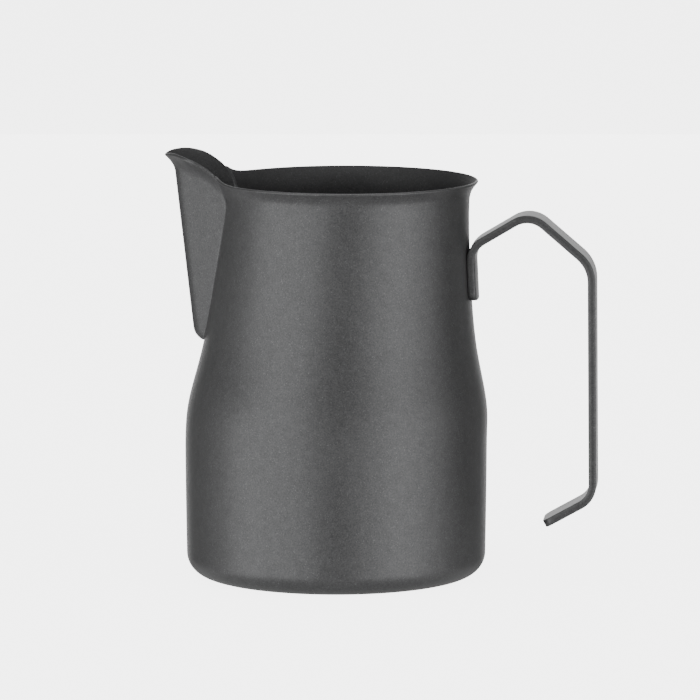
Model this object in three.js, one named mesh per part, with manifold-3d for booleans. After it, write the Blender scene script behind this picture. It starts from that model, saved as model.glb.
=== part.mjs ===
// Milk frothing pitcher, 0.5 L: a drawn sheet-steel jug with a welded V-shaped spout and an open strap handle.
// Millimetres. Origin at the centre of the base's underside, on the axis of the lower body.
// +Z up, +X towards the handle, -X towards the spout, +Y to the side.
import * as THREE from "three";
import { mergeVertices } from "three/addons/utils/BufferGeometryUtils.js";
import Module from "manifold-3d";

const wasm = await Module();
wasm.setup();

// ---------------------------------------------------------------- driving dimensions
const SHEET = 0.8; // body and spout sheet thickness
const GAP = 0.3; // clearance between neighbouring pieces
const TURN_STEPS = 64; // facets round the body
const FRONT_DENSITY = 0.45; // 0 = even facets, towards 1 = finer facets at the spout

// Jug outside: radius at each height, above the base corner
const BASE_CORNER_R = 6.4;
const BODY_R = 41.67;
const BODY_PROFILE = [
  // [z, r]
  [6.4, 41.67],
  [20.0, 41.87],
  [32.0, 42.0],
  [40.3, 42.03],
  [43.8, 41.98],
  [46.4, 41.8],
  [49.0, 41.42],
  [52.2, 40.77],
  [57.3, 39.55],
  [63.0, 38.26],
  [68.1, 37.39],
  [75.9, 36.4],
  [86.0, 35.45],
  [97.6, 34.65],
  [103.0, 34.46],
  [106.0, 34.56],
];
// The rim flares outward: points [z, r] of its outside, up to the lower edge of the lip
const LIP_PROFILE = [
  [107.6, 34.98],
  [108.7, 35.65],
  [109.7, 36.42],
];

// The neck is set back towards the handle: above SET_BACK_FROM its axis leans by SET_BACK_SLOPE
const SET_BACK_FROM = 38.1;
const SET_BACK_SLOPE = 0.0345;

// Where the rim meets the spout it sweeps up: height gained at an angle from the spout's plane
const SWEEP_HEIGHT = 2.0; // at SWEEP_ANGLE
const SWEEP_ANGLE = 22; // degrees
const SWEEP_FADE = 4.2; // degrees for a fall of 1/e
const SWEEP_OUT = 0.6; // outward move per mm gained

// Spout: a V-section trough with a rounded keel that leans outward
const KEEL_R = 5.56;
const WALL_ANGLE = 36.5; // degrees, each wall from the spout's plane
// Keel line in the plane of symmetry [z, x]: foot, then straight to the pouring lip
const KEEL = [
  [64.66, -34.5],
  [64.95, -35.6],
  [65.45, -37.2],
  [66.1, -38.3],
  [67.8, -39.34],
  [70.6, -39.98],
  [73.4, -40.34],
  [120.0, -45.65],
];
// Lip of the spout: [distance along the section from the keel, outward flare, height of the edge]
const SPOUT_LIP = [
  [0.0, 2.36, 117.0],
  [2.0, 2.5, 117.2],
  [4.0, 3.0, 117.45],
  [6.3, 3.95, 117.55],
  [8.6, 4.85, 117.4],
  [10.8, 5.45, 117.1],
  [12.6, 5.65, 116.65],
  [14.2, 5.4, 116.1],
  [15.5, 4.85, 115.5],
  [16.5, 4.25, 114.9],
  [17.5, 3.5, 114.15],
  [18.6, 2.7, 113.2],
  [19.8, 2.0, 112.2],
  [20.8, 1.65, 111.5],
  [22.3, 1.35, 110.8],
  [23.9, 1.0, 110.5],
  [28.0, 0.0, 110.3],
];
const FLARE_DEPTH_KEEL = 4.6; // height over which the lip flares, at the keel
const FLARE_DEPTH_SIDE = 8.0; // and at the sides
// Weld seam between spout and body: a butt joint
const SEAM_FROM = 0.3;
const SEAM_TO = 0.7;

// Handle: a flat strip, bent
const STRAP_WIDTH = 13.0;
const STRAP_THICK = 2.05;
const STRAP_CHAMFER = 0.45;
const STRAP_CORNER_R = 2.6; // corners at both ends, seen flat on
// Bend vertices of the strip's middle plane [x, z] and the bend radii there
const STRAP_VERTEX_TAB = 92.52; // z of the bend at the top of the tab; its x follows the neck
const STRAP_APEX = [54.19, 102.12];
const STRAP_SHOULDER = [71.42, 87.57];
const STRAP_KNEE = [72.0, 23.24];
const STRAP_END = [58.45, 15.4];
const STRAP_BENDS = [3.9, 6.94, 9.38, 6.39]; // tab, apex, shoulder, knee
const TAB_BOTTOM = 78.2;
// Weld plugs that join the tab to the neck
const PLUG_R = 1.5;
const PLUG_Z = [81.2, 86.2];

const STEEL = { color: 0x55565a, roughness: 0.55, metalness: 0.35 };

// ---------------------------------------------------------------- helpers
const clamp = (v, lo, hi) => Math.min(hi, Math.max(lo, v));
const rad = THREE.MathUtils.degToRad;

// Value at t on a polyline of [t, value] pairs
function along(table, t) {
  if (t <= table[0][0]) return table[0][1];
  for (let i = 1; i < table.length; i++)
    if (t <= table[i][0]) {
      const k = (t - table[i - 1][0]) / (table[i][0] - table[i - 1][0]);
      return table[i - 1][1] + k * (table[i][1] - table[i - 1][1]);
    }
  return table[table.length - 1][1];
}

// A closed geometry as a manifold-3d solid
function toSolid(geometry) {
  const g = geometry.clone();
  g.deleteAttribute("normal");
  g.deleteAttribute("uv");
  const m = mergeVertices(g, 1e-5);
  const tris = [];
  const ix = m.index.array;
  for (let i = 0; i < ix.length; i += 3)
    if (ix[i] !== ix[i + 1] && ix[i + 1] !== ix[i + 2] && ix[i] !== ix[i + 2])
      tris.push(ix[i], ix[i + 1], ix[i + 2]);
  const make = (list) =>
    new wasm.Manifold(
      new wasm.Mesh({
        numProp: 3,
        vertProperties: new Float32Array(m.attributes.position.array),
        triVerts: new Uint32Array(list),
      }),
    );
  let solid = make(tris);
  if (solid.volume() < 0) {
    for (let i = 0; i < tris.length; i += 3)
      [tris[i + 1], tris[i + 2]] = [tris[i + 2], tris[i + 1]];
    solid = make(tris);
  }
  return solid;
}

function toGeometry(solid) {
  const m = solid.getMesh();
  const v = new Float32Array(m.numVert * 3);
  for (let i = 0; i < m.numVert; i++)
    for (let k = 0; k < 3; k++)
      v[i * 3 + k] = m.vertProperties[i * m.numProp + k];
  const g = new THREE.BufferGeometry();
  g.setAttribute("position", new THREE.BufferAttribute(v, 3));
  g.setIndex(new THREE.BufferAttribute(new Uint32Array(m.triVerts), 1));
  g.computeVertexNormals();
  return g;
}

// The largest body of a solid: booleans along a thin edge can leave a crumb
function mainBody(solid) {
  return solid
    .decompose()
    .sort((a, b) => b.volume() - a.volume())[0];
}

function fromIndexed(points, triangles) {
  const g = new THREE.BufferGeometry();
  const v = new Float32Array(points.length * 3);
  points.forEach((p, i) => v.set([p.x, p.y, p.z], i * 3));
  g.setAttribute("position", new THREE.BufferAttribute(v, 3));
  g.setIndex(triangles);
  return g;
}

function mesh(name, geometry) {
  const material = new THREE.MeshStandardMaterial({ ...STEEL });
  const m = new THREE.Mesh(geometry, material);
  m.name = name;
  return m;
}

// ---------------------------------------------------------------- jug body
const setBack = (z) => SET_BACK_SLOPE * Math.max(0, z - SET_BACK_FROM);
const outerProfile = BODY_PROFILE.concat(LIP_PROFILE);
const outerRadius = (z) => along(outerProfile, z);

// Outside of the jug as [r, z] points from the middle of the base to the lip
function outsideLine() {
  const line = [[0, 0]];
  const flat = BODY_R - BASE_CORNER_R;
  const steps = 5;
  for (let i = 0; i <= steps; i++) {
    const a = (i / steps) * (Math.PI / 2);
    line.push([
      flat + BASE_CORNER_R * Math.sin(a),
      BASE_CORNER_R * (1 - Math.cos(a)),
    ]);
  }
  for (const [z, r] of outerProfile.slice(1)) line.push([r, z]);
  return line;
}

// The same line moved inward by the sheet thickness
function insideLine(line) {
  const out = [];
  for (let i = 0; i < line.length; i++) {
    const a = line[Math.max(0, i - 1)];
    const b = line[Math.min(line.length - 1, i + 1)];
    let tx = b[0] - a[0];
    let tz = b[1] - a[1];
    if (i === 0) [tx, tz] = [1, 0];
    const l = Math.hypot(tx, tz);
    out.push([
      line[i][0] - (tz / l) * SHEET,
      line[i][1] + (tx / l) * SHEET,
    ]);
  }
  out[0] = [0, SHEET];
  return out;
}

// Facets are turned towards the spout, the neck is set back, and the rim sweeps up to the spout
function shapeBody(geometry) {
  const p = geometry.attributes.position;
  for (let i = 0; i < p.count; i++) {
    const x = p.getX(i);
    const y = p.getY(i);
    let z = p.getZ(i);
    let r = Math.hypot(x, y);
    let b = r > 1e-9 ? Math.atan2(y, -x) : 0; // 0 at the spout
    b -= FRONT_DENSITY * Math.sin(b);
    const angle = Math.abs(b) * THREE.MathUtils.RAD2DEG;
    const back = setBack(Math.min(z, 110.3));
    const rim = THREE.MathUtils.smoothstep(z, 103.0, 109.3);
    const gain =
      rim * SWEEP_HEIGHT * Math.exp(-(Math.max(angle, 19) - SWEEP_ANGLE) / SWEEP_FADE);
    z += gain;
    r += gain * SWEEP_OUT;
    p.setXYZ(i, back - r * Math.cos(b), r * Math.sin(b), z);
  }
  return geometry;
}

function turned(line) {
  const g = new THREE.LatheGeometry(
    line.map(([r, z]) => new THREE.Vector2(r, z)),
    TURN_STEPS,
  );
  g.rotateX(Math.PI / 2);
  g.rotateZ(Math.PI / 2);
  return toSolid(shapeBody(g));
}

const outside = outsideLine();
const inside = insideLine(outside);
const shell = turned(outside.concat(inside.slice().reverse()));
// The hollow, carried on upward past the rim
const lipInside = inside[inside.length - 1];
const hollow = turned([...inside, [lipInside[0], 135], [0, 135]]);

// ---------------------------------------------------------------- spout
const wallTurn = rad(90 - WALL_ANGLE); // how far the keel's curve turns before the flat wall
const keelArc = KEEL_R * wallTurn;
const SIDE_REACH = 28.0;

// Point of the V section at a distance along it from the keel, with its outward direction
function section(a) {
  const s = Math.abs(a);
  const side = Math.sign(a) || 1;
  let dx, y, nx, ny;
  if (s <= keelArc) {
    const t = s / KEEL_R;
    dx = KEEL_R * (1 - Math.cos(t));
    y = KEEL_R * Math.sin(t);
    nx = -Math.cos(t);
    ny = Math.sin(t);
  } else {
    const t = s - keelArc;
    dx = KEEL_R * (1 - Math.cos(wallTurn)) + t * Math.sin(wallTurn);
    y = KEEL_R * Math.sin(wallTurn) + t * Math.cos(wallTurn);
    nx = -Math.cos(wallTurn);
    ny = Math.sin(wallTurn);
  }
  return { dx, y: side * y, nx, ny: side * ny };
}

const lipFlare = SPOUT_LIP.map(([a, f]) => [a, f]);
const lipHeight = SPOUT_LIP.map(([a, , h]) => [a, h]);

// Outside of the spout at distance a along the section and height z
function spoutPoint(a, z) {
  const s = Math.abs(a);
  const c = section(a);
  const top = along(lipHeight, s);
  const side = THREE.MathUtils.smoothstep(s, 3, 11);
  const depth = FLARE_DEPTH_KEEL + (FLARE_DEPTH_SIDE - FLARE_DEPTH_KEEL) * side;
  const q = clamp((top - z) / depth, 0, 1);
  const flare = along(lipFlare, s) * (1 - q) ** 2;
  return new THREE.Vector3(
    along(KEEL, z) + c.dx + flare * c.nx,
    c.y + flare * c.ny,
    z,
  );
}

const COLUMNS = [
  0, 1.7, 3.4, 5.2, 7.4, 9.6, 11.8, 13.6, 15.2, 16.6, 18.0, 19.3, 20.8, 22.3,
  24.5, SIDE_REACH,
];
const columns = COLUMNS.slice(1)
  .reverse()
  .map((a) => -a)
  .concat(COLUMNS);
const LOW_LEVELS = [
  64.66, 64.95, 65.45, 66.1, 67.8, 70.6, 73.4, 80.0, 88.0, 96.0, 102.0,
];
const TOP_SHARES = [0.3, 0.5, 0.66, 0.79, 0.9, 1.0];

// Grid of the spout's outside, moved outward by d
function spoutGrid(d) {
  const rows = [];
  const levelsOf = (a) => {
    const top = along(lipHeight, Math.abs(a));
    const last = LOW_LEVELS[LOW_LEVELS.length - 1];
    return LOW_LEVELS.concat(TOP_SHARES.map((k) => last + k * (top - last)));
  };
  const n = LOW_LEVELS.length + TOP_SHARES.length;
  for (let j = 0; j < n; j++)
    rows.push(columns.map((a) => spoutPoint(a, levelsOf(a)[j])));
  if (d === 0) return rows;
  return rows.map((row, j) =>
    row.map((p, i) => {
      const left = rows[j][Math.max(0, i - 1)];
      const right = rows[j][Math.min(row.length - 1, i + 1)];
      const below = rows[Math.max(0, j - 1)][i];
      const above = rows[Math.min(n - 1, j + 1)][i];
      const across = right.clone().sub(left);
      const up = above.clone().sub(below);
      const normal = up.cross(across).normalize();
      if (normal.x > 0) normal.negate();
      return p.clone().addScaledVector(normal, d);
    }),
  );
}

// Sheet between two grids of the same size
function sheetBetween(a, b) {
  const rows = a.length;
  const cols = a[0].length;
  const points = a.flat().concat(b.flat());
  const off = rows * cols;
  const tris = [];
  const quad = (p, q, r, s) => tris.push(p, q, r, p, r, s);
  for (let j = 0; j < rows - 1; j++)
    for (let i = 0; i < cols - 1; i++) {
      const v = j * cols + i;
      quad(v, v + 1, v + cols + 1, v + cols);
      quad(off + v, off + v + cols, off + v + cols + 1, off + v + 1);
    }
  for (let i = 0; i < cols - 1; i++) {
    quad(i + 1, i, off + i, off + i + 1);
    const v = (rows - 1) * cols + i;
    quad(v, v + 1, off + v + 1, off + v);
  }
  for (let j = 0; j < rows - 1; j++) {
    const v = j * cols;
    quad(v, v + cols, off + v + cols, off + v);
    const w = j * cols + cols - 1;
    quad(w + cols, w, off + w, off + w + cols);
  }
  return toSolid(fromIndexed(points, tris));
}

// Everything inside the trough's outside, moved outward by d, carried on above its lip
function troughFilled(d) {
  const grid = spoutGrid(d);
  const last = grid[grid.length - 1];
  grid.push(last.map((p) => new THREE.Vector3(p.x, p.y, p.z + 5)));
  const rows = grid.length;
  const cols = columns.length;
  const points = grid.flat();
  const tris = [];
  const quad = (p, q, r, s) => tris.push(p, q, r, p, r, s);
  for (let j = 0; j < rows - 1; j++) {
    for (let i = 0; i < cols - 1; i++) {
      const v = j * cols + i;
      quad(v, v + 1, v + cols + 1, v + cols);
    }
    const v = j * cols;
    const w = v + cols - 1;
    quad(w, v, v + cols, w + cols);
  }
  const half = (cols - 1) / 2;
  for (const [base, flip] of [
    [0, false],
    [(rows - 1) * cols, true],
  ])
    for (let i = 0; i < half; i++) {
      const p = base + i;
      const q = base + i + 1;
      const r = base + cols - 2 - i;
      const s = base + cols - 1 - i;
      if (i === half - 1) flip ? tris.push(p, q, s) : tris.push(p, s, q);
      else flip ? quad(p, q, r, s) : quad(p, s, r, q);
    }
  return toSolid(fromIndexed(points, tris));
}

const spoutSheet = sheetBetween(spoutGrid(0), spoutGrid(-SHEET));
const spoutSolid = mainBody(spoutSheet.subtract(hollow));
const bodySolid = mainBody(shell.subtract(troughFilled(SEAM_TO + GAP)));
const seamSolid = mainBody(
  shell.intersect(troughFilled(SEAM_TO)).subtract(troughFilled(SEAM_FROM)),
);

// ---------------------------------------------------------------- handle
// Middle plane of the tab at height z: it stands on the neck with the gap
const tabX = (z) => setBack(z) + outerRadius(z) + GAP + STRAP_THICK / 2;

// Path of the strip's middle plane, with the distance run and how much of the neck's curve it keeps
function strapPath() {
  const V = [
    [tabX(TAB_BOTTOM), TAB_BOTTOM],
    [tabX(STRAP_VERTEX_TAB), STRAP_VERTEX_TAB],
    STRAP_APEX,
    STRAP_SHOULDER,
    STRAP_KNEE,
    STRAP_END,
  ].map(([x, z]) => new THREE.Vector2(x, z));
  const path = [{ p: V[0].clone(), bend: 0 }];
  for (let i = 1; i < V.length - 1; i++) {
    const a = V[i - 1].clone().sub(V[i]).normalize();
    const b = V[i + 1].clone().sub(V[i]).normalize();
    const r = STRAP_BENDS[i - 1];
    const open = Math.acos(a.dot(b));
    const t = r / Math.tan(open / 2);
    const centre = V[i]
      .clone()
      .addScaledVector(a.clone().add(b).normalize(), r / Math.sin(open / 2));
    const from = V[i].clone().addScaledVector(a, t).sub(centre);
    const to = V[i].clone().addScaledVector(b, t).sub(centre);
    const a0 = Math.atan2(from.y, from.x);
    let turn = Math.atan2(to.y, to.x) - a0;
    turn = ((turn + 3 * Math.PI) % (2 * Math.PI)) - Math.PI;
    const n = 6;
    for (let k = 0; k <= n; k++) {
      const g = a0 + (turn * k) / n;
      path.push({
        p: new THREE.Vector2(
          centre.x + r * Math.cos(g),
          centre.y + r * Math.sin(g),
        ),
        bend: i + (k / n) * 0.999,
      });
    }
  }
  path.push({ p: V[V.length - 1].clone(), bend: 9 });
  // more stations in the rounded ends and along the tab
  const full = [];
  const ends = [0, 0.12, 0.35, 0.75, 1.35, 2.6];
  const len = (p, q) => p.distanceTo(q);
  for (let i = 0; i < path.length; i++) {
    full.push(path[i]);
    if (i === 0) {
      const l = len(path[0].p, path[1].p);
      for (const d of ends.slice(1))
        full.push({ p: path[0].p.clone().lerp(path[1].p, d / l), bend: 0 });
      full.push({ p: path[0].p.clone().lerp(path[1].p, 0.62), bend: 0 });
    }
    if (i === path.length - 2) {
      const q = path[i + 1];
      const l = len(path[i].p, q.p);
      for (const d of ends.slice(1).reverse())
        full.push({ p: q.p.clone().lerp(path[i].p, d / l), bend: 9 });
    }
  }
  let run = 0;
  full.forEach((s, i) => {
    if (i) run += len(s.p, full[i - 1].p);
    s.run = run;
    s.curved =
      s.bend < 1 ? 1 : s.bend < 2 ? 1 - THREE.MathUtils.smoothstep(s.bend, 1, 2) : 0;
  });
  full.forEach((s, i) => {
    const a = full[Math.max(0, i - 1)].p;
    const b = full[Math.min(full.length - 1, i + 1)].p;
    s.t = b.clone().sub(a).normalize();
  });
  return full;
}

function strapSolid() {
  const path = strapPath();
  const total = path[path.length - 1].run;
  const rings = path.map((s) => {
    const d = Math.min(s.run, total - s.run, STRAP_CORNER_R);
    const half =
      STRAP_WIDTH / 2 -
      STRAP_CORNER_R +
      Math.sqrt(Math.max(0, STRAP_CORNER_R ** 2 - (STRAP_CORNER_R - d) ** 2));
    const c = STRAP_CHAMFER;
    const h = STRAP_THICK / 2;
    const ring = [];
    const shares = [-1, -0.55, 0, 0.55, 1];
    for (const k of shares) ring.push([k * (half - c), h]);
    ring.push([half, h - c], [half, -h + c]);
    for (const k of shares.slice().reverse()) ring.push([k * (half - c), -h]);
    ring.push([-half, -h + c], [-half, h - c]);
    // n points to the left of travel: towards the neck on the tab, upward on the legs
    const n = new THREE.Vector2(-s.t.y, s.t.x);
    return ring.map(([y, o]) => {
      const reach = tabX(clamp(s.p.y, TAB_BOTTOM, 96)) - setBack(s.p.y) - o;
      const sag = reach - Math.sqrt(reach * reach - y * y);
      return new THREE.Vector3(
        s.p.x + n.x * o - sag * s.curved,
        y,
        s.p.y + n.y * o,
      );
    });
  });
  const m = rings[0].length;
  const points = rings.flat();
  const tris = [];
  for (let j = 0; j < rings.length - 1; j++)
    for (let i = 0; i < m; i++) {
      const a = j * m + i;
      const b = j * m + ((i + 1) % m);
      tris.push(a, b, b + m, a, b + m, a + m);
    }
  // end caps: strips between the two faces of the strip
  for (const [base, flip] of [
    [0, false],
    [(rings.length - 1) * m, true],
  ]) {
    const face = (p, q, r) =>
      flip ? tris.push(base + p, base + q, base + r) : tris.push(base + p, base + r, base + q);
    const top = [13, 0, 1, 2, 3, 4, 5];
    const low = [12, 11, 10, 9, 8, 7, 6];
    for (let i = 0; i < 6; i++) {
      face(top[i], top[i + 1], low[i + 1]);
      face(top[i], low[i + 1], low[i]);
    }
  }
  return toSolid(fromIndexed(points, tris));
}

// Round bar along X from x0 to x1 at height z
function barX(r, x0, x1, z) {
  const g = new THREE.CylinderGeometry(r, r, x1 - x0, 20);
  g.rotateZ(Math.PI / 2);
  g.translate((x0 + x1) / 2, 0, z);
  return toSolid(g);
}

let strap = strapSolid();
for (const z of PLUG_Z)
  strap = strap.subtract(barX(PLUG_R + GAP, tabX(z) - 4, tabX(z) + 4, z));
const plugs = PLUG_Z.map((z) =>
  barX(PLUG_R, tabX(z) - STRAP_THICK / 2 + 0.05, tabX(z) + STRAP_THICK / 2 - 0.15, z),
);

// ---------------------------------------------------------------- the pitcher
const pitcher = new THREE.Group();
pitcher.add(mesh("body_shell", toGeometry(bodySolid)));
pitcher.add(mesh("spout", toGeometry(spoutSolid)));
pitcher.add(mesh("spout_seam_weld", toGeometry(seamSolid)));
pitcher.add(mesh("handle_strap", toGeometry(mainBody(strap))));
pitcher.add(mesh("handle_weld_lower", toGeometry(plugs[0])));
pitcher.add(mesh("handle_weld_upper", toGeometry(plugs[1])));

export default pitcher;
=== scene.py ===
"""Looks of the milk frothing pitcher: coated sheet-steel jug, welded V spout, bent strap handle.
Shapes are worked out in millimetres in the CAD frame and written in metres."""

import math

import bmesh
import bpy
import numpy as np
from mathutils import Matrix, Vector


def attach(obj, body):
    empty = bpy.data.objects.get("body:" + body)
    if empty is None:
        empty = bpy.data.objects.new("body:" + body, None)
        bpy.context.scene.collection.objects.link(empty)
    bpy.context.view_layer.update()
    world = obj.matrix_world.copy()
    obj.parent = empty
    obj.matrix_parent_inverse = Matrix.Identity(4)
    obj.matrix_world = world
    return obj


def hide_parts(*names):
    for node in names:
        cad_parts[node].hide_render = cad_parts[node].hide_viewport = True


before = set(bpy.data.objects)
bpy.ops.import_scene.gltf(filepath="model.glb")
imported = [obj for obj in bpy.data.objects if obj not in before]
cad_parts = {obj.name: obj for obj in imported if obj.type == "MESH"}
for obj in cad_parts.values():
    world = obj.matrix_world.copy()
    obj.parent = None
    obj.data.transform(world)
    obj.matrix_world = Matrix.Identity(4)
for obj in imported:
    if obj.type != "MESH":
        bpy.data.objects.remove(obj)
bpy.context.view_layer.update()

MM = 0.001

# ---------------------------------------------------------------- dimensions (mm), as in the CAD part
SHEET = 0.8
BASE_CORNER_R = 6.4
BODY_R = 41.67
BODY_PROFILE = [
    (6.4, 41.67), (20.0, 41.87), (32.0, 41.99), (40.3, 42.012), (43.8, 41.97), (46.4, 41.8),
    (49.0, 41.42), (52.2, 40.77), (57.3, 39.55), (63.0, 38.26), (68.1, 37.39), (75.9, 36.4),
    (86.0, 35.45), (97.6, 34.65), (103.0, 34.46), (106.0, 34.56), (107.6, 34.98),
    (108.8, 35.68), (109.9, 36.55),
]
RIM_Z = BODY_PROFILE[-1][0]
SET_BACK_FROM, SET_BACK_SLOPE = 38.1, 0.0385
SWEEP_HEIGHT, SWEEP_ANGLE, SWEEP_FADE, SWEEP_OUT = 2.0, 22.0, 4.2, 0.6

KEEL_R = 5.56
WALL_ANGLE = 36.5
KEEL_TOP = (-40.34, 73.4)  # x, z of a point on the keel's straight run
KEEL_LEAN = -0.11395  # dx/dz of the straight run
FOOT_Z, FOOT_R = 69.05, 4.5  # where the keel starts to turn in, and its radius
# lip of the spout: distance along the section from the keel, flare, height of the edge
SPOUT_LIP = [
    (0.0, 2.395, 117.0), (2.0, 2.54, 117.2), (4.0, 3.0, 117.45), (6.3, 3.95, 117.55),
    (8.6, 4.85, 117.4), (10.8, 5.45, 117.1), (12.6, 5.65, 116.65), (14.2, 5.4, 116.18),
    (15.5, 4.85, 115.62), (16.5, 4.25, 115.04), (17.5, 3.5, 114.3), (18.6, 2.7, 113.36),
    (19.8, 2.0, 112.4), (20.8, 1.65, 111.7), (22.3, 1.35, 111.0), (23.9, 1.0, 110.7),
    (28.0, 0.0, 110.5),
]
LIP_TRIM = 0.145  # the lip's edge is rounded, so its sheet ends this much lower
FLARE_DEPTH_KEEL, FLARE_DEPTH_SIDE = 4.6, 6.0
EDGE_R = 0.3  # rounding of the cut edges of the sheet
SEAM_HALF = 0.45  # the dressed seam reaches this far onto each sheet

STRAP_WIDTH, STRAP_THICK = 13.0, 2.15
STRAP_ARRIS, STRAP_CORNER_R = 0.25, 2.3
STRAP_VERTEX_TAB = 92.5
STRAP_APEX, STRAP_SHOULDER = (54.12, 102.1), (71.18, 87.5)
STRAP_KNEE, STRAP_END = (71.78, 22.85), (58.4, 15.4)
STRAP_BENDS = [6.1, 6.94, 9.6, 6.39]
TAB_BOTTOM = 77.6
TAB_CLEAR = 0.04  # the tab lies on the neck
TAB_OUT = 2.05  # its outer face from the neck
PLUG_R, PLUG_Z = 1.5, (81.2, 86.2)


# ---------------------------------------------------------------- curves
def smooth_table(pairs, step, sigma=0.0, keep=None):
    """Dense samples of a smooth curve through (t, value) pairs, lightly smoothed where keep is 0."""
    t = np.array([p[0] for p in pairs], float)
    v = np.array([p[1] for p in pairs], float)
    h = np.diff(t)
    d = np.diff(v) / h
    m = np.empty_like(v)
    m[1:-1] = (d[:-1] * h[1:] + d[1:] * h[:-1]) / (h[:-1] + h[1:])
    m[0], m[-1] = d[0] * 1.5 - m[1] * 0.5, d[-1] * 1.5 - m[-2] * 0.5
    x = np.arange(t[0], t[-1] + step / 2, step)
    x[-1] = t[-1]
    i = np.clip(np.searchsorted(t, x, "right") - 1, 0, len(h) - 1)
    u = (x - t[i]) / h[i]
    y = (
        (2 * u**3 - 3 * u**2 + 1) * v[i]
        + (u**3 - 2 * u**2 + u) * h[i] * m[i]
        + (-2 * u**3 + 3 * u**2) * v[i + 1]
        + (u**3 - u**2) * h[i] * m[i + 1]
    )
    if sigma:
        n = int(4 * sigma / step)
        k = np.exp(-0.5 * (np.arange(-n, n + 1) * step / sigma) ** 2)
        k /= k.sum()
        left = 2 * y[0] - y[1 : n + 1][::-1]
        right = 2 * y[-1] - y[-n - 1 : -1][::-1]
        s = np.convolve(np.concatenate([left, y, right]), k, "valid")
        w = keep(x) if keep else 0.0
        y = s * (1 - w) + y * w
    return x, y


def smoothstep(x, a, b):
    u = np.clip((np.asarray(x, float) - a) / (b - a), 0.0, 1.0)
    return u * u * (3 - 2 * u)


def unit(v):
    return v / np.maximum(np.linalg.norm(v, axis=-1, keepdims=True), 1e-12)


R_Z, R_V = smooth_table(BODY_PROFILE, 0.1, 1.6, lambda z: smoothstep(z, 101.0, 105.0))


def body_r(z):
    return np.interp(z, R_Z, R_V)


def set_back(z):
    """The neck's axis leans back; the lean starts softly."""
    z = np.minimum(z, 110.3)
    t = z - SET_BACK_FROM
    return SET_BACK_SLOPE * np.where(t > 3, t, np.where(t < -3, 0.0, (t + 3) ** 2 / 12))


def rim_gain(angle, z):
    a = np.abs(np.degrees(angle))
    return smoothstep(z, 103.0, 109.3) * SWEEP_HEIGHT * np.exp(-(np.maximum(a, 17.0) - SWEEP_ANGLE) / SWEEP_FADE)


def body_point(angle, z):
    """Outside of the jug above the base corner; angle 0 faces the spout."""
    angle, z = np.broadcast_arrays(np.asarray(angle, float), np.asarray(z, float))
    g = rim_gain(angle, z)
    r = body_r(z) + SWEEP_OUT * g
    return np.stack([set_back(z) - r * np.cos(angle), r * np.sin(angle), z + g], -1)


def normal_of(f, a, b, da, db):
    """Outward normal of a surface f(a, b) from central differences."""
    u = f(a + da, b) - f(a - da, b)
    v = f(a, b + db) - f(a, b - db)
    return unit(np.cross(u, v))


def body_normal(angle, z):
    z = np.asarray(z, float)
    zc = np.clip(z, 6.5, RIM_Z - 0.12)
    n = normal_of(body_point, np.asarray(angle, float), zc, 2e-3, 0.1)
    return -n if np.mean((n * (body_point(angle, zc) - [0, 0, 60]))[..., :2].sum(-1)) < 0 else n


def body_inverse(p):
    """Angle, height before the sweep, and distance outside the jug's surface of points."""
    z = p[..., 2].copy()
    for _ in range(30):
        ang = np.arctan2(p[..., 1], -(p[..., 0] - set_back(z)))
        z = 0.5 * z + 0.5 * (p[..., 2] - rim_gain(ang, z))
    rho = np.hypot(p[..., 0] - set_back(z), p[..., 1])
    # above the rim the flare is carried on straight
    r = body_r(np.minimum(z, RIM_Z)) + np.maximum(z - RIM_Z, 0) * 0.95
    return ang, z, rho - (r + SWEEP_OUT * rim_gain(ang, z))


# the keel line: a foot arc, then straight
_d = np.array([KEEL_LEAN, 1.0]) / math.hypot(KEEL_LEAN, 1.0)
_t = np.array([KEEL_TOP[0] + KEEL_LEAN * (FOOT_Z - KEEL_TOP[1]), FOOT_Z])
_c = _t + FOOT_R * np.array([_d[1], -_d[0]])
_th1 = math.atan2(_c[0] - _t[0], _c[1] - _t[1])  # angle from straight down
_th0 = math.radians(-14.0)
L_TURN = FOOT_R * (_th1 - _th0)


def keel(l):
    l = np.asarray(l, float)
    th = np.minimum(l / FOOT_R + _th0, _th1)
    over = np.maximum(l - L_TURN, 0.0)
    x = _c[0] - FOOT_R * np.sin(th) + over * _d[0]
    z = _c[1] - FOOT_R * np.cos(th) + over * _d[1]
    return x, z


def keel_l(z):
    """Distance along the keel at height z, on the straight run."""
    return L_TURN + (z - FOOT_Z) / _d[1]


LIP_A, LIP_F = smooth_table([(-a, f) for a, f, _ in SPOUT_LIP[:0:-1]] + [(a, f) for a, f, _ in SPOUT_LIP], 0.1, 0.5)
_, LIP_H = smooth_table([(-a, h) for a, _, h in SPOUT_LIP[:0:-1]] + [(a, h) for a, _, h in SPOUT_LIP], 0.1, 0.5)
_turn = math.radians(90 - WALL_ANGLE)
KEEL_ARC = KEEL_R * _turn


def lip_height(a):
    return np.interp(np.abs(a), LIP_A, LIP_H)


def trough_point(a, l):
    """Outside of the spout at distance a round its section and l up its keel."""
    a, l = np.broadcast_arrays(np.asarray(a, float), np.asarray(l, float))
    s = np.abs(a)
    side = np.where(a < 0, -1.0, 1.0)
    th = np.minimum(s, KEEL_ARC) / KEEL_R
    over = np.maximum(s - KEEL_ARC, 0.0)
    dx = KEEL_R * (1 - np.cos(th)) + over * math.sin(_turn)
    y = KEEL_R * np.sin(th) + over * math.cos(_turn)
    kx, z = keel(l)
    depth = FLARE_DEPTH_KEEL + (FLARE_DEPTH_SIDE - FLARE_DEPTH_KEEL) * smoothstep(s, 3, 11)
    q = np.clip((lip_height(s) - z) / depth, -0.1, 1.0)
    f = np.interp(s, LIP_A, LIP_F) * (1 - q) ** 2
    return np.stack([kx + dx - f * np.cos(th), side * (y + f * np.sin(th)), z], -1)


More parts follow.
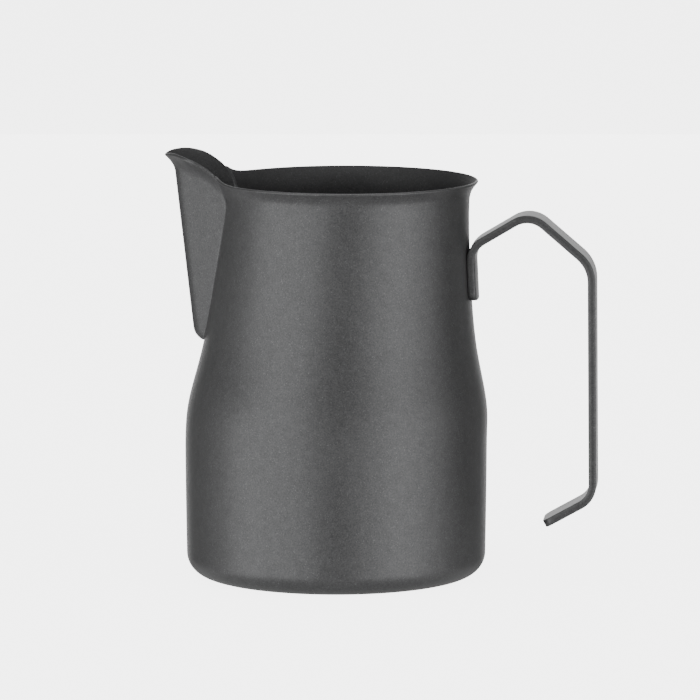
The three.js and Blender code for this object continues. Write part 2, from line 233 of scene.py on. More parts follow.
def trough_normal(a, l):
    n = normal_of(trough_point, np.asarray(a, float), np.asarray(l, float), 0.03, 0.03)
    return n * np.where(n[..., :1] > 0.35, -1.0, 1.0)


# ---------------------------------------------------------------- where the spout meets the jug
def crease_a(l):
    """Distance round the section at which the spout's outside meets the jug's outside."""
    lo, hi = np.zeros_like(l), np.full_like(l, 27.0)
    for _ in range(44):
        mid = (lo + hi) / 2
        out = body_inverse(trough_point(mid, l))[2] > 0
        lo, hi = np.where(out, mid, lo), np.where(out, hi, mid)
    return (lo + hi) / 2


lo, hi = 0.05, L_TURN
for _ in range(50):
    mid = (lo + hi) / 2
    if body_inverse(trough_point(np.array([0.0]), np.array([mid])))[2][0] > 0:
        hi = mid
    else:
        lo = mid
L_TIP = (lo + hi) / 2
lo, hi = float(keel_l(105.0)), float(keel_l(116.0))
for _ in range(50):
    mid = (lo + hi) / 2
    l = np.array([mid])
    if body_inverse(trough_point(crease_a(l), l))[1][0] > RIM_Z:
        hi = mid
    else:
        lo = mid
L_END = (lo + hi) / 2
A_END = float(crease_a(np.array([L_END]))[0])

_grow = L_TIP + (L_END - L_TIP) * np.linspace(0, 1, 121) ** 2
_top = np.linspace(L_END - 9.0, L_END, 27)
CREASE_L = np.unique(np.round(np.concatenate([_grow[_grow < L_END - 9.0], _top]), 6))
CREASE_A = crease_a(CREASE_L)
CREASE_A[0] = 0.0
CREASE_P = trough_point(CREASE_A, CREASE_L)
_tan = np.gradient(CREASE_P, axis=0)
_tan[0] = [0, 1, 0]
_tan = unit(_tan)
_nb_ang, _nb_z, _ = body_inverse(CREASE_P)
_nb = body_normal(_nb_ang, np.minimum(_nb_z, RIM_Z))
_nt = trough_normal(CREASE_A + 1e-3, CREASE_L)
# directions along each sheet, away from the crease
_tb = unit(np.cross(_nb, _tan))
_tb *= np.where((_tb * _nt).sum(-1, keepdims=True) > 0, 1.0, -1.0)
_tt = unit(np.cross(_nt, _tan))
_tt *= np.where((_tt * _nb).sum(-1, keepdims=True) > 0, 1.0, -1.0)

# edge of the jug's sheet along the seam, as (angle, z), and of the spout's sheet, as (a, l)
_pb = CREASE_P + SEAM_HALF * _tb
SEAM_B_ANG, SEAM_B_Z, _ = body_inverse(_pb)
SEAM_B_ANG[0] = 0.0
SEAM_B_Z[-1] = RIM_Z
SEAM_B_Z = np.minimum(SEAM_B_Z, RIM_Z)


def trough_inverse(p, a, l):
    """(a, l) of points near the spout's surface, from a nearby guess."""
    a, l = a.copy(), l.copy()
    for _ in range(12):
        q = trough_point(a, l)
        ja = (trough_point(a + 0.01, l) - q) / 0.01
        jl = (trough_point(a, l + 0.01) - q) / 0.01
        e = p - q
        m11, m12, m22 = (ja * ja).sum(-1), (ja * jl).sum(-1), (jl * jl).sum(-1)
        b1, b2 = (ja * e).sum(-1), (jl * e).sum(-1)
        det = m11 * m22 - m12**2
        a = a + (b1 * m22 - b2 * m12) / det
        l = l + (m11 * b2 - m12 * b1) / det
    return a, l


_pt = CREASE_P + SEAM_HALF * _tt
SEAM_T_A, SEAM_T_L = trough_inverse(_pt, np.maximum(CREASE_A, 0.02), CREASE_L + 0.05)
SEAM_T_A[0] = 0.0
SEAM_T_L[0] = L_TIP + SEAM_HALF
SEAM_T_L[-1] = L_END
for arr in (SEAM_B_Z, SEAM_T_L):
    np.maximum.accumulate(arr, out=arr)
TIP_Z = float(SEAM_B_Z[0])
TIP_L = float(SEAM_T_L[0])


# ---------------------------------------------------------------- mesh helpers
class Build:
    """Collects vertices and faces of one closed piece."""

    def __init__(self):
        self.v, self.f = [], []

    def grid(self, pts):
        """Adds an array of points (rows, cols, 3); returns their indices."""
        pts = np.asarray(pts, float)
        base = len(self.v)
        self.v.extend(pts.reshape(-1, 3).tolist())
        return np.arange(base, base + pts.shape[0] * pts.shape[1]).reshape(pts.shape[:2])

    def skin(self, idx, flip=False):
        for j in range(idx.shape[0] - 1):
            for i in range(idx.shape[1] - 1):
                q = [idx[j, i], idx[j, i + 1], idx[j + 1, i + 1], idx[j + 1, i]]
                self.f.append(q[::-1] if flip else q)

    def face(self, ids, flip=False):
        ids = [int(i) for i in ids]
        self.f.append(ids[::-1] if flip else ids)

    def mirror(self):
        """Adds the same again on the other side of the plane y = 0."""
        n = len(self.v)
        self.v += [[x, -y, z] for x, y, z in self.v]
        self.f += [[i + n for i in f][::-1] for f in self.f]

    def make(self, name, sharp=50.0):
        me = bpy.data.meshes.new(name)
        bm = bmesh.new()
        verts = [bm.verts.new([c * MM for c in p]) for p in self.v]
        for f in self.f:
            try:
                bm.faces.new([verts[i] for i in f])
            except ValueError:
                pass
        bmesh.ops.remove_doubles(bm, verts=bm.verts, dist=2e-7)
        bmesh.ops.dissolve_degenerate(bm, dist=1e-7, edges=bm.edges)
        loose = [v for v in bm.verts if not v.link_faces]
        bmesh.ops.delete(bm, geom=loose, context="VERTS")
        bmesh.ops.recalc_face_normals(bm, faces=bm.faces)
        if bm.calc_volume(signed=True) < 0:
            bmesh.ops.reverse_faces(bm, faces=bm.faces)
        open_edges = sum(1 for e in bm.edges if len(e.link_faces) != 2)
        vol = bm.calc_volume(signed=True)
        bm.to_mesh(me)
        bm.free()
        for p in me.polygons:
            p.use_smooth = True
        me.set_sharp_from_angle(angle=math.radians(sharp))
        o = bpy.data.objects.new(name, me)
        bpy.context.scene.collection.objects.link(o)
        print(f"{name}: {len(me.polygons)} faces, {open_edges} open edges, {vol * 1e9:.1f} mm3")
        return o


def edge_round(o, i, up, r=EDGE_R, n=4):
    """Points round a cut edge of the sheet from its outer to its inner corner, without those two."""
    nrm = unit(o - i)
    up = unit(up - nrm * (up * nrm).sum(-1, keepdims=True))
    rows = []
    for k in range(1, n + 1):
        t = k / n * math.pi / 2
        rows.append(o - nrm * r + r * (math.cos(t) * nrm + math.sin(t) * up))
    for k in range(0, n):
        t = k / n * math.pi / 2
        rows.append(i + nrm * r + r * (-math.sin(t) * nrm + math.cos(t) * up))
    return rows


# ---------------------------------------------------------------- the jug
def jug():
    b = Build()
    n = 92
    base = np.linspace(0.0, math.pi, n + 1)
    shift_to = math.radians(75.0)
    weight = np.where(base < shift_to, (1 - base / shift_to) ** 2, 0.0)
    flat = BODY_R - BASE_CORNER_R
    low = [(0.0, 0.0), (7.0, 0.0), (14.0, 0.0), (21.0, 0.0), (27.0, 0.0), (31.5, 0.0), (34.2, 0.0)]
    arc = [
        (flat + BASE_CORNER_R * math.sin(t), BASE_CORNER_R * (1 - math.cos(t)))
        for t in np.linspace(0, math.pi / 2, 15)[:-1]
    ]
    z = np.concatenate(
        [
            np.linspace(6.4, 40.0, 18),
            np.arange(41.0, 53.0, 0.8),
            np.arange(53.4, 63.0, 1.3),
            TIP_Z - np.array([1.6, 0.9, 0.45, 0.18]),
            TIP_Z + np.array([0.0, 0.015, 0.06, 0.135, 0.24, 0.38, 0.55, 0.75, 1.0, 1.3, 1.7, 2.2, 2.9]),
            np.arange(TIP_Z + 3.9, 102.0, 1.4),
            np.arange(102.6, RIM_Z - 0.3, 0.42),
            [RIM_Z - 0.2, RIM_Z],
        ]
    )
    z = np.unique(np.round(z, 5))
    open_from = int(np.argmin(np.abs(z - TIP_Z)))
    cut = np.where(z <= TIP_Z + 1e-4, 0.0, np.interp(z, SEAM_B_Z, SEAM_B_ANG))
    ang = base[None, :] + cut[:, None] * weight[None, :]
    outer = body_point(ang, np.broadcast_to(z[:, None], ang.shape))
    nrm = body_normal(ang, np.broadcast_to(z[:, None], ang.shape))
    lows, lown = [], []
    for r, zz in low:
        lows.append(np.stack([-r * np.cos(base), r * np.sin(base), np.full_like(base, zz)], -1))
        lown.append(np.broadcast_to([0.0, 0.0, -1.0], (n + 1, 3)))
    for k, (r, zz) in enumerate(arc):
        t = k / 14 * math.pi / 2
        lows.append(np.stack([-r * np.cos(base), r * np.sin(base), np.full_like(base, zz)], -1))
        lown.append(
            np.stack([-math.sin(t) * np.cos(base), math.sin(t) * np.sin(base), np.full_like(base, -math.cos(t))], -1)
        )
    outer = np.concatenate([np.array(lows), outer])
    nrm = np.concatenate([np.array(lown), nrm])
    first = len(lows) + open_from
    inner = outer - SHEET * nrm
    up = outer[-1] - outer[-2]
    rounding = np.array(edge_round(outer[-1], inner[-1], up))
    # snap the seam-free columns onto the plane of symmetry so that both halves join
    for g in (outer, inner, rounding):
        g[:, -1, 1] = 0.0
    outer[: first + 1, 0, 1] = 0.0
    inner[: first + 1, 0, 1] = 0.0
    io, ii, ir = b.grid(outer), b.grid(inner), b.grid(rounding)
    b.skin(io)
    b.skin(ii, True)
    b.skin(np.concatenate([io[-1:], ir, ii[-1:]]))
    for j in range(first, len(io) - 1):
        b.face([io[j, 0], io[j + 1, 0], ii[j + 1, 0], ii[j, 0]])
    b.face([io[-1, 0], *ir[:, 0], ii[-1, 0]])
    b.mirror()
    return b.make("jug_body")


# ---------------------------------------------------------------- the spout
def lip_l(a):
    """How far up the keel line the lip's sheet ends, at distance a; it meets the rim at the seam."""
    z = lip_height(a) - LIP_TRIM
    end = keel_l(lip_height(A_END) - LIP_TRIM)
    w = smoothstep(np.abs(a), A_END - 5.0, A_END)
    return keel_l(z) + (L_END - end) * w


def spout():
    b = Build()
    n = 34
    share = np.linspace(0, 1, n + 1)
    l_low = np.concatenate(
        [
            TIP_L + np.array([0.0, 0.015, 0.06, 0.14, 0.26, 0.42, 0.64, 0.92, 1.3, 1.75, 2.3, 3.0, 3.8, 4.8, 5.9, 7.2, 8.6]),
            np.arange(TIP_L + 10.2, float(keel_l(99.0)), 1.9),
        ]
    )
    l_split = l_low[-1]
    a_end = float(np.interp(L_END, SEAM_T_L, SEAM_T_A))

    def a_at(l, s):
        return s * np.where(l <= TIP_L + 1e-6, 0.0, np.interp(np.minimum(l, L_END), SEAM_T_L, SEAM_T_A))

    rows_a, rows_l = [], []
    for l in l_low:
        rows_a.append(a_at(l, share))
        rows_l.append(np.full_like(share, l))
    top = lip_l(share * a_end)
    top[-1] = L_END
    q = np.linspace(0, 1, 27)[1:]
    q = q + 0.12 * np.sin(math.pi * q) ** 1.0 * 0.6
    for k in q:
        l = l_split + k * (top - l_split)
        rows_a.append(a_at(l, share))
        rows_l.append(l)
    A, L = np.array(rows_a), np.array(rows_l)
    outer = trough_point(A, L)
    inner = outer - SHEET * trough_normal(np.maximum(A, 1e-4), L)
    up = outer[-1] - outer[-2]
    rounding = np.array(edge_round(outer[-1], inner[-1], up))
    for g in (outer, inner, rounding):
        g[:, 0, 1] = 0.0
    outer[0, :], inner[0, :] = outer[0, 0], inner[0, 0]
    io, ii, ir = b.grid(outer), b.grid(inner), b.grid(rounding)
    b.skin(io)
    b.skin(ii, True)
    b.skin(np.concatenate([io[-1:], ir, ii[-1:]]))
    for j in range(len(io) - 1):
        b.face([io[j, -1], io[j + 1, -1], ii[j + 1, -1], ii[j, -1]], True)
    b.face([io[-1, -1], *ir[:, -1], ii[-1, -1]], True)
    b.mirror()
    return b.make("pouring_spout")


# ---------------------------------------------------------------- the seam
def seam():
    b = Build()
    m = 6
    ob = body_point(SEAM_B_ANG, SEAM_B_Z)
    ot = trough_point(SEAM_T_A, SEAM_T_L)
    nb = body_normal(SEAM_B_ANG, SEAM_B_Z)
    nt = trough_normal(np.maximum(SEAM_T_A, 1e-4), SEAM_T_L)
    ib, it = ob - SHEET * nb, ot - SHEET * nt
    co = CREASE_P
    ci = CREASE_P - SHEET * (_nb + _nt) / (1 + (_nb * _nt).sum(-1, keepdims=True))

    def bezier(p, c, q):
        # a dressed weld: drawn part of the way to the corner
        t = np.linspace(0, 1, m + 1)[None, :, None]
        return (1 - t) ** 2 * p[:, None] + 2 * t * (1 - t) * c[:, None] + t**2 * q[:, None]

    outer, inner = bezier(ob, co, ot), bezier(ib, ci, it)
    up = outer[-1] - outer[-2]
    rounding = np.array(edge_round(outer[-1], inner[-1], up))
    outer[0, :, 1] = 0.0
    inner[0, :, 1] = 0.0
    io, ii, ir = b.grid(outer), b.grid(inner), b.grid(rounding)
    b.skin(io)
    b.skin(ii, True)
    b.skin(np.concatenate([io[-1:], ir, ii[-1:]]))
    for c, flip in ((0, False), (m, True)):
        for j in range(len(io) - 1):
            b.face([io[j, c], io[j + 1, c], ii[j + 1, c], ii[j, c]], flip)
        b.face([io[-1, c], *ir[:, c], ii[-1, c]], flip)
    b.mirror()
    return b.make("spout_seam")


# ---------------------------------------------------------------- the handle
def neck_x(z):
    return float(set_back(np.array(z)) + body_r(z))


def strap_path():
    """Middle line of the strip in the plane of symmetry: segments as (kind, data, length)."""
    mid = TAB_OUT - STRAP_THICK / 2
    V = [
        (neck_x(TAB_BOTTOM) + mid, TAB_BOTTOM),
        (neck_x(STRAP_VERTEX_TAB) + mid, STRAP_VERTEX_TAB),
        STRAP_APEX,
        STRAP_SHOULDER,
        STRAP_KNEE,
        STRAP_END,
    ]
    V = [np.array(v, float) for v in V]
    segs, here = [], V[0]
    for i in range(1, len(V) - 1):
        a, c = V[i - 1] - V[i], V[i + 1] - V[i]
        a, c = a / np.linalg.norm(a), c / np.linalg.norm(c)
        r = STRAP_BENDS[i - 1]
        half = math.acos(float(a @ c)) / 2
        t = r / math.tan(half)
        bis = (a + c) / np.linalg.norm(a + c)
        cen = V[i] + bis * r / math.sin(half)
        p0, p1 = V[i] + a * t, V[i] + c * t
        segs.append(("line", here, p0, np.linalg.norm(p0 - here), i))
        a0 = math.atan2(*(p0 - cen)[::-1])
        turn = (math.atan2(*(p1 - cen)[::-1]) - a0 + math.pi) % (2 * math.pi) - math.pi
        segs.append(("arc", cen, (r, a0, turn), abs(turn) * r, i))
        here = p1
    segs.append(("line", here, V[-1], np.linalg.norm(V[-1] - here), 9))
    return segs


SEGS = strap_path()
SEG_START = np.concatenate([[0], np.cumsum([s[3] for s in SEGS])])
STRAP_LEN = float(SEG_START[-1])


def strap_at(l):
    """Point, direction of travel and how much of the neck's curve is kept, at distance l."""
    k = int(np.clip(np.searchsorted(SEG_START, l, "right") - 1, 0, len(SEGS) - 1))
    s = SEGS[k]
    u = (l - SEG_START[k]) / s[3]
    if s[0] == "line":
        d = (s[2] - s[1]) / s[3]
        p = s[1] + d * (l - SEG_START[k])
    else:
        r, a0, turn = s[2]
        g = a0 + turn * u
        p = s[1] + r * np.array([math.cos(g), math.sin(g)])
        d = np.array([-math.sin(g), math.cos(g)]) * (1 if turn > 0 else -1)
    curved = 1.0 if k == 0 else (1 - float(smoothstep(u, 0, 1)) if k == 1 else 0.0)
    return p, d, curved


def strap():
    b = Build()
    R, rho = STRAP_CORNER_R, STRAP_ARRIS
    W, H = STRAP_WIDTH / 2, STRAP_THICK / 2
    corner = np.radians(np.linspace(0, 90, 9))
    mids = []
    for k, s in enumerate(SEGS):
        a, c = SEG_START[k], SEG_START[k + 1]
        if s[0] == "arc":
            mids += list(np.linspace(a, c, 13))
        else:
            lo = R if k == 0 else a
            hi = STRAP_LEN - R if k == len(SEGS) - 1 else c
            n = max(2, int((hi - lo) / (1.1 if k == 0 else 3.0)))
            mids += list(np.linspace(lo, hi, n + 1))
    mids = np.unique(np.round([m for m in mids if R + 1e-3 < m < STRAP_LEN - R - 1e-3], 5))
    stations = [("a", c) for c in corner] + [("m", m) for m in mids] + [("b", c) for c in corner[::-1]]

    def place(e, st):
        """(l, half width) at a station of the outline moved in by e."""
        kind, v = st
        if kind == "m":
            return v, W - e
        l = R - (R - e) * math.cos(v)
        w = W - R + (R - e) * math.sin(v)
        return (l if kind == "a" else STRAP_LEN - l), w

    def put(l, w, t):
        p, d, curved = strap_at(l)
        n = np.array([-d[1], d[0]])  # towards the neck on the tab, upward on the legs
        x, z = p + n * t
        if curved:
            reach = neck_x(min(z, 96.0)) - float(set_back(np.array(z))) + TAB_OUT - STRAP_THICK / 2 - t
            x -= (reach - math.sqrt(reach * reach - w * w)) * curved
            # the tab's inner face lies down on the neck
            x -= curved * (TAB_OUT - STRAP_THICK - TAB_CLEAR) * max(t, 0.0) / H
        return [x, w, z]

    share = np.linspace(-1, 1, 13)
    levels = np.radians(np.linspace(-90, 90, 9))
    face_up, face_dn, side_p, side_n = [], [], [], []
    for st in stations:
        l, w = place(rho, st)
        face_up.append([put(l, w * s, H) for s in share])
        face_dn.append([put(l, w * s, -H) for s in share])
        rowp, rown = [], []
        for ps in levels:
            l2, w2 = place(rho * (1 - math.cos(ps)), st)
            t = math.copysign(H - rho, ps) * (0 if abs(ps) < 1e-9 else 1) + rho * math.sin(ps)
            rowp.append(put(l2, w2, t))
            rown.append(put(l2, -w2, t))
        side_p.append(rowp)
        side_n.append(rown)
    up, dn = b.grid(face_up), b.grid(face_dn)
    sp, sn = b.grid(side_p), b.grid(side_n)
    b.skin(up)
    b.skin(dn, True)
    b.skin(sp, True)
    b.skin(sn)
    for st, flip in ((stations[0], True), (stations[-1], False)):
        rows = []
        for ps in levels:
            l2, w2 = place(rho * (1 - math.cos(ps)), st)
            t = math.copysign(H - rho, ps) * (0 if abs(ps) < 1e-9 else 1) + rho * math.sin(ps)
            rows.append([put(l2, w2 * s, t) for s in share])
        b.skin(b.grid(rows), flip)
    return b.make("handle_strap_bar", 60.0)


jug_o, spout_o, seam_o, strap_o = jug(), spout(), seam(), strap()


# ---------------------------------------------------------------- weld plugs in the tab
def lathe_x(name, line, x_of, z0, n=40):
    """A round plug along X: line of (distance outward, radius), curved with the neck."""
    b = Build()
    rows = []
    for out, r in line:
        row = []
        for k in range(n + 1):
            t = 2 * math.pi * k / n
            y, z = r * math.cos(t), z0 + r * math.sin(t)
            row.append([x_of(y, z, out), y, z])
        rows.append(row)
    b.skin(b.grid(rows))
    return b.make(name, 40.0)


def tab_x(y, z, out):
    reach = neck_x(z) - float(set_back(np.array(z))) + out
    return float(set_back(np.array(z))) + math.sqrt(reach * reach - y * y)


def cut_round(o, z0, r):
    """Cuts a round hole along X through the tab."""
    bm = bmesh.new()
    bmesh.ops.create_cone(
        bm, cap_ends=True, segments=48, radius1=r * MM, radius2=r * MM, depth=12 * MM,
        matrix=Matrix.Translation((neck_x(z0) * MM, 0, z0 * MM)) @ Matrix.Rotation(math.pi / 2, 4, "Y"),
    )
    me = bpy.data.meshes.new("cutter")
    bm.to_mesh(me)
    bm.free()
    c = bpy.data.objects.new("cutter", me)
    bpy.context.scene.collection.objects.link(c)
    mod = o.modifiers.new("hole", "BOOLEAN")
    mod.operation, mod.solver, mod.object = "DIFFERENCE", "EXACT", c
    dg = bpy.context.evaluated_depsgraph_get()
    new = bpy.data.meshes.new_from_object(o.evaluated_get(dg))
    o.modifiers.clear()
    old = o.data
    o.data = new
    bpy.data.meshes.remove(old)
    bpy.data.objects.remove(c)
    bpy.data.meshes.remove(me)


for z0 in PLUG_Z:
    cut_round(strap_o, z0, PLUG_R)
for p in strap_o.data.polygons:
    p.use_smooth = True
strap_o.data.set_sharp_from_angle(angle=math.radians(50.0))
strap_o.data.name = "handle_strap_bar"

PLUG_LINE = [
    (TAB_CLEAR, 0.0), (TAB_CLEAR, 0.9), (TAB_CLEAR, PLUG_R - 0.04), (TAB_OUT - 0.22, PLUG_R - 0.02),
    (TAB_OUT - 0.12, PLUG_R - 0.04), (TAB_OUT - 0.05, PLUG_R - 0.12), (TAB_OUT - 0.02, PLUG_R - 0.28),
    (TAB_OUT - 0.03, 0.95), (TAB_OUT - 0.06, 0.6), (TAB_OUT - 0.08, 0.3), (TAB_OUT - 0.085, 0.0),
]
plugs = [
    lathe_x(n, PLUG_LINE, tab_x, z) for n, z in zip(("tab_weld_plug_low", "tab_weld_plug_high"), PLUG_Z)
]

# ---------------------------------------------------------------- coating
def coat(name, base=0.10, rough=0.42, spec=0.5, metallic=0.0, scale=1.0, wear=0.5, bump=0.012, tint=(1.0, 1.005, 1.02), inside_shade=0.0):
    """Satin anthracite coat with fine flakes: paint from object-space noise, worn a little at edges, and painted
    shade within the vessel where asked.
    """
    m = bpy.data.materials.new(name)
    m.use_nodes = True
    nt = m.node_tree
    N, L = nt.nodes, nt.links
    N.clear()
    out = N.new("ShaderNodeOutputMaterial")
    bsdf = N.new("ShaderNodeBsdfPrincipled")
    L.new(bsdf.outputs[0], out.inputs[0])
    co = N.new("ShaderNodeTexCoord").outputs["Object"]

    def noise(sc, detail, rgh=0.5):
        n = N.new("ShaderNodeTexNoise")
        n.inputs["Scale"].default_value = sc
        n.inputs["Detail"].default_value = detail
        n.inputs["Roughness"].default_value = rgh
        L.new(co, n.inputs["Vector"])
        return n.outputs["Fac"]

    def math_(op, a, b_, clamp=False):
        n = N.new("ShaderNodeMath")
        n.operation, n.use_clamp = op, clamp
        for k, v in enumerate((a, b_)):
            if isinstance(v, (int, float)):
                n.inputs[k].default_value = v
            else:
                L.new(v, n.inputs[k])
        return n.outputs[0]

    def span(v, lo_, hi_, to_lo, to_hi):
        n = N.new("ShaderNodeMapRange")
        n.inputs["From Min"].default_value, n.inputs["From Max"].default_value = lo_, hi_
        n.inputs["To Min"].default_value, n.inputs["To Max"].default_value = to_lo, to_hi
        L.new(v, n.inputs["Value"])
        return n.outputs[0]

    grain = noise(2600.0 * scale, 3.0, 0.6)
    soft = noise(420.0 * scale, 3.0, 0.55)
    cloud = noise(38.0 * scale, 3.0, 0.5)
    vor = N.new("ShaderNodeTexVoronoi")
    vor.inputs["Scale"].default_value = 3300.0 * scale
    L.new(co, vor.inputs["Vector"])
    sep = N.new("ShaderNodeSeparateColor")
    L.new(vor.outputs["Color"], sep.inputs[0])
    flake = span(sep.outputs[0], 0.86, 1.0, 0.0, 1.0)
    flake = math_("MULTIPLY", flake, span(vor.outputs["Distance"], 0.25, 0.6, 1.0, 0.0))

    # worn edges: convex edges rub lighter
    geo = N.new("ShaderNodeNewGeometry")
    edge = span(geo.outputs["Pointiness"], 0.52, 0.60, 0.0, 1.0)
    edge = math_("MULTIPLY", edge, span(soft, 0.42, 0.62, 0.2, 1.0))
    edge = math_("MULTIPLY", edge, wear)

    val = math_("MULTIPLY", span(grain, 0.3, 0.7, 0.74, 1.26), base)
    val = math_("MULTIPLY", val, span(soft, 0.3, 0.7, 0.93, 1.07))
    val = math_("MULTIPLY", val, span(cloud, 0.3, 0.7, 0.97, 1.03))
    val = math_("ADD", val, math_("MULTIPLY", flake, base * 0.75))
    val = math_("ADD", val, math_("MULTIPLY", edge, base * 0.9))
    # painted shade: faces within the vessel, which look towards the axis, are painted darker; they are also made
    # rougher
    if inside_shade:
        flat = N.new("ShaderNodeVectorMath")
        flat.operation = "MULTIPLY"
        flat.inputs[1].default_value = (1, 1, 0)
        L.new(co, flat.inputs[0])
        away = N.new("ShaderNodeVectorMath")
        away.operation = "NORMALIZE"
        L.new(flat.outputs[0], away.inputs[0])
        facing = N.new("ShaderNodeVectorMath")
        facing.operation = "DOT_PRODUCT"
        L.new(away.outputs[0], facing.inputs[0])
        L.new(geo.outputs["Normal"], facing.inputs[1])
        inner = span(facing.outputs["Value"], -0.15, -0.55, 0.0, inside_shade)
        val = math_("MULTIPLY", val, math_("SUBTRACT", 1.0, math_("MULTIPLY", inner, 0.45)))
    comb = N.new("ShaderNodeCombineColor")
    for k in range(3):
        L.new(math_("MULTIPLY", val, tint[k]), comb.inputs[k])
    L.new(comb.outputs[0], bsdf.inputs["Base Color"])
    r = span(grain, 0.3, 0.7, rough - 0.05, rough + 0.05)
    r = math_("ADD", r, span(cloud, 0.3, 0.7, -0.02, 0.02))
    r = math_("SUBTRACT", r, math_("MULTIPLY", flake, 0.05))
    if inside_shade:
        r = math_("ADD", r, math_("MULTIPLY", inner, 0.22))
    L.new(math_("MAXIMUM", r, 0.12), bsdf.inputs["Roughness"])
    bsdf.inputs["Metallic"].default_value = metallic
    bsdf.inputs["Specular IOR Level"].default_value = spec
    h = math_("ADD", math_("MULTIPLY", grain, 0.6), math_("MULTIPLY", soft, 0.8))
    bp = N.new("ShaderNodeBump")
    bp.inputs["Strength"].default_value = 0.25
    bp.inputs["Distance"].default_value = bump * MM
    L.new(h, bp.inputs["Height"])
    L.new(bp.outputs[0], bsdf.inputs["Normal"])
    return m


COAT = dict(base=0.09, rough=0.42, spec=0.5, metallic=0.6)
# the jug's coat carries painted shade on the faces within the vessel
body_mat = coat("coated_steel", inside_shade=1.0, **COAT)
# the strap's coat is painted a little darker than the jug's as painted shade; its roughness and edge wear differ as
# well
strap_shaded_mat = coat("coated_strap", **{**COAT, "base": 0.083, "rough": 0.385, "wear": 0.8})
weld_mat = coat("coated_weld", **{**COAT, "scale": 0.9, "bump": 0.02})

for o, mat, slot_name, nodes in (
    (jug_o, body_mat, "coated_steel", ("body_shell",)),
    (spout_o, body_mat, "coated_steel", ("spout",)),
    (seam_o, weld_mat, "coated_weld", ("spout_seam_weld",)),
    (strap_o, strap_shaded_mat, "coated_strap", ("handle_strap",)),
    (plugs[0], weld_mat, "coated_weld", ("handle_weld_lower",)),
    (plugs[1], weld_mat, "coated_weld", ("handle_weld_upper",)),
):
    o.data.materials.clear()
    o.data.materials.append(mat)
    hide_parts(*nodes)
    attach(o, "root")

# ---------------------------------------------------------------- floor, world, lights
sc = bpy.context.scene


def area(name, loc, aim, size, power, spread=180.0, color=(1, 1, 1)):
    d = bpy.data.lights.new(name, "AREA")
    d.shape = "RECTANGLE"
    d.size, d.size_y = size
    d.energy = power
    d.color = color
    d.spread = math.radians(spread)
    o = bpy.data.objects.new(name, d)
    o.location = loc
    o.rotation_mode = "QUATERNION"
    o.rotation_quaternion = (Vector(aim) - Vector(loc)).to_track_quat("-Z", "Y")
    sc.collection.objects.link(o)
    return o


FLOOR_GLOW, WORLD_GLOW = 4.6, 5.2  # how bright floor and surround look to the camera

# a pale floor; the softboxes reach below it, so only what the camera sees of it is solid
fm = bpy.data.materials.new("floor_white")
fm.use_nodes = True
nt = fm.node_tree
nt.nodes.clear()
out = nt.nodes.new("ShaderNodeOutputMaterial")
add = nt.nodes.new("ShaderNodeAddShader")
dif = nt.nodes.new("ShaderNodeBsdfDiffuse")
dif.inputs[0].default_value = (0.6, 0.6, 0.6, 1)
emi = nt.nodes.new("ShaderNodeEmission")
lp = nt.nodes.new("ShaderNodeLightPath")
mul = nt.nodes.new("ShaderNodeMath")
mul.operation = "MULTIPLY"
mul.inputs[1].default_value = FLOOR_GLOW
either = nt.nodes.new("ShaderNodeMath")
either.operation = "MAXIMUM"
clear = nt.nodes.new("ShaderNodeBsdfTransparent")
mixer = nt.nodes.new("ShaderNodeMixShader")
nt.links.new(lp.outputs["Is Camera Ray"], mul.inputs[0])
nt.links.new(mul.outputs[0], emi.inputs["Strength"])
nt.links.new(dif.outputs[0], add.inputs[0])
nt.links.new(emi.outputs[0], add.inputs[1])
nt.links.new(lp.outputs["Is Glossy Ray"], either.inputs[0])
nt.links.new(lp.outputs["Is Shadow Ray"], either.inputs[1])
# and from below it hides nothing
geo = nt.nodes.new("ShaderNodeNewGeometry")
or_below = nt.nodes.new("ShaderNodeMath")
or_below.operation = "MAXIMUM"
nt.links.new(either.outputs[0], or_below.inputs[0])
nt.links.new(geo.outputs["Backfacing"], or_below.inputs[1])
nt.links.new(or_below.outputs[0], mixer.inputs[0])
nt.links.new(add.outputs[0], mixer.inputs[1])
nt.links.new(clear.outputs[0], mixer.inputs[2])
nt.links.new(mixer.outputs[0], out.inputs[0])

bm = bmesh.new()
size = 6.0
for x, y in ((-size, -size), (size, -size), (size, size), (-size, size)):
    bm.verts.new((x, y, -0.00002))
bm.faces.new(bm.verts)
fme = bpy.data.meshes.new("floor")
bm.to_mesh(fme)
bm.free()
floor = bpy.data.objects.new("floor", fme)
sc.collection.objects.link(floor)
fme.materials.append(fm)

w = bpy.data.worlds.new("studio")
sc.world = w
w.use_nodes = True
nt = w.node_tree
nt.nodes.clear()
wo = nt.nodes.new("ShaderNodeOutputWorld")
bg = nt.nodes.new("ShaderNodeBackground")
lp = nt.nodes.new("ShaderNodeLightPath")
mx = nt.nodes.new("ShaderNodeMix")
mx.data_type = "FLOAT"
nt.links.new(lp.outputs["Is Camera Ray"], mx.inputs["Factor"])
mx.inputs["A"].default_value = 0.254
mx.inputs["B"].default_value = WORLD_GLOW
nt.links.new(mx.outputs[0], bg.inputs["Strength"])
nt.links.new(bg.outputs[0], wo.inputs[0])


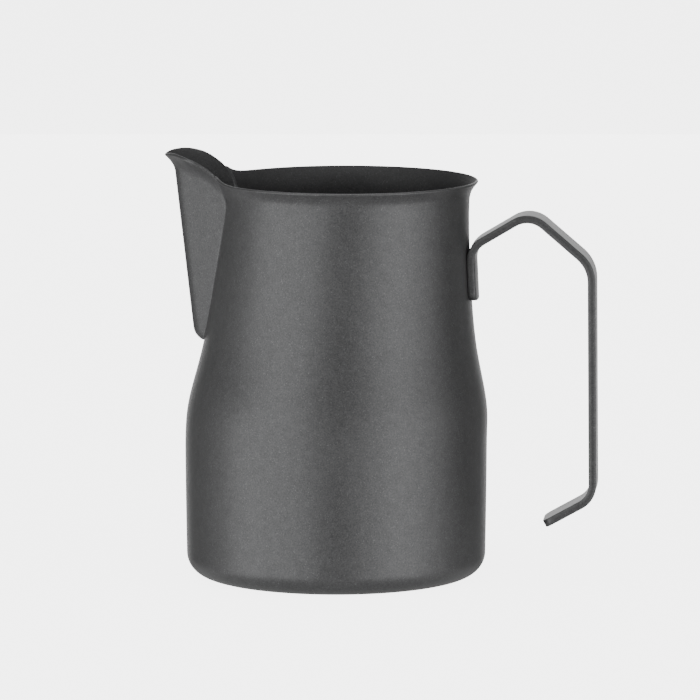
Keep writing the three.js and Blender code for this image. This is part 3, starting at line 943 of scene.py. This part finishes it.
def softbox(name, azimuth, width, z0, z1, level, dist=1.2):
    """An upright panel round the object; azimuth is from the camera's side, level in tens of watts a square metre."""
    t = math.radians(4.8 + azimuth)
    zc = (z0 + z1) / 2
    o = area(name, (dist * math.sin(t), -dist * math.cos(t), zc), (0, 0, zc), (width, z1 - z0), 10 * level * width * (z1 - z0))
    o.visible_camera = False
    return o


# two broad banks in front, a dark gap between them, a little light from behind and above
for name, azimuth, width, z0, z1, level in (
    ("left_a", -27, 0.50, -0.75, 0.35, 0.546),
    ("left_b", -50, 0.50, -0.75, 0.35, 0.553),
    ("left_c", -74, 0.55, -0.75, 0.35, 0.683),
    ("left_d", -100, 0.55, -0.75, 0.35, 0.114),
    ("left_high", -47, 0.90, 0.35, 0.90, 0.78),
    ("right_a", 27, 0.50, -0.75, 0.35, 0.45),
    ("right_b", 50, 0.50, -0.75, 0.35, 0.768),
    ("right_c", 74, 0.55, -0.75, 0.35, 0.435),
    ("right_high", 47, 0.90, 0.35, 0.90, 0.622),
    ("backdrop", 180, 1.10, -0.30, 0.70, 0.50),
):
    softbox(name, azimuth, width, z0, z1, level)
top = area("overhead", (0, 0, 1.3), (0, 0, 0), (1.2, 1.2), 10 * 0.545 * 1.44)
top.visible_camera = False
bounce = area("floor_bounce", (0, 0, -0.5), (0, 0, 0), (2.4, 2.4), 7.0)
bounce.visible_camera = False

# ---------------------------------------------------------------- camera
cd = bpy.data.cameras.new("camera")
cd.sensor_width = 36.0
cd.lens = 36.0 * 6400.0 / 700.0
cam = bpy.data.objects.new("camera", cd)
sc.collection.objects.link(cam)
sc.camera = cam
S = 0.278
PH, TH = math.radians(4.8), math.radians(7.79)
back = 6340.9
# where the lens is, in the turned frame, then in the object's frame
xc, yc = 13.9, -back
loc = Vector((xc * math.cos(PH) - yc * math.sin(PH), xc * math.sin(PH) + yc * math.cos(PH), 1093.3)) * (S * MM)
cam.location = loc
look = Vector((-math.sin(PH) * math.cos(TH), math.cos(PH) * math.cos(TH), -math.sin(TH)))
cam.rotation_mode = "QUATERNION"
cam.rotation_quaternion = look.to_track_quat("-Z", "Y")
cd.clip_start, cd.clip_end = 0.1, 60.0
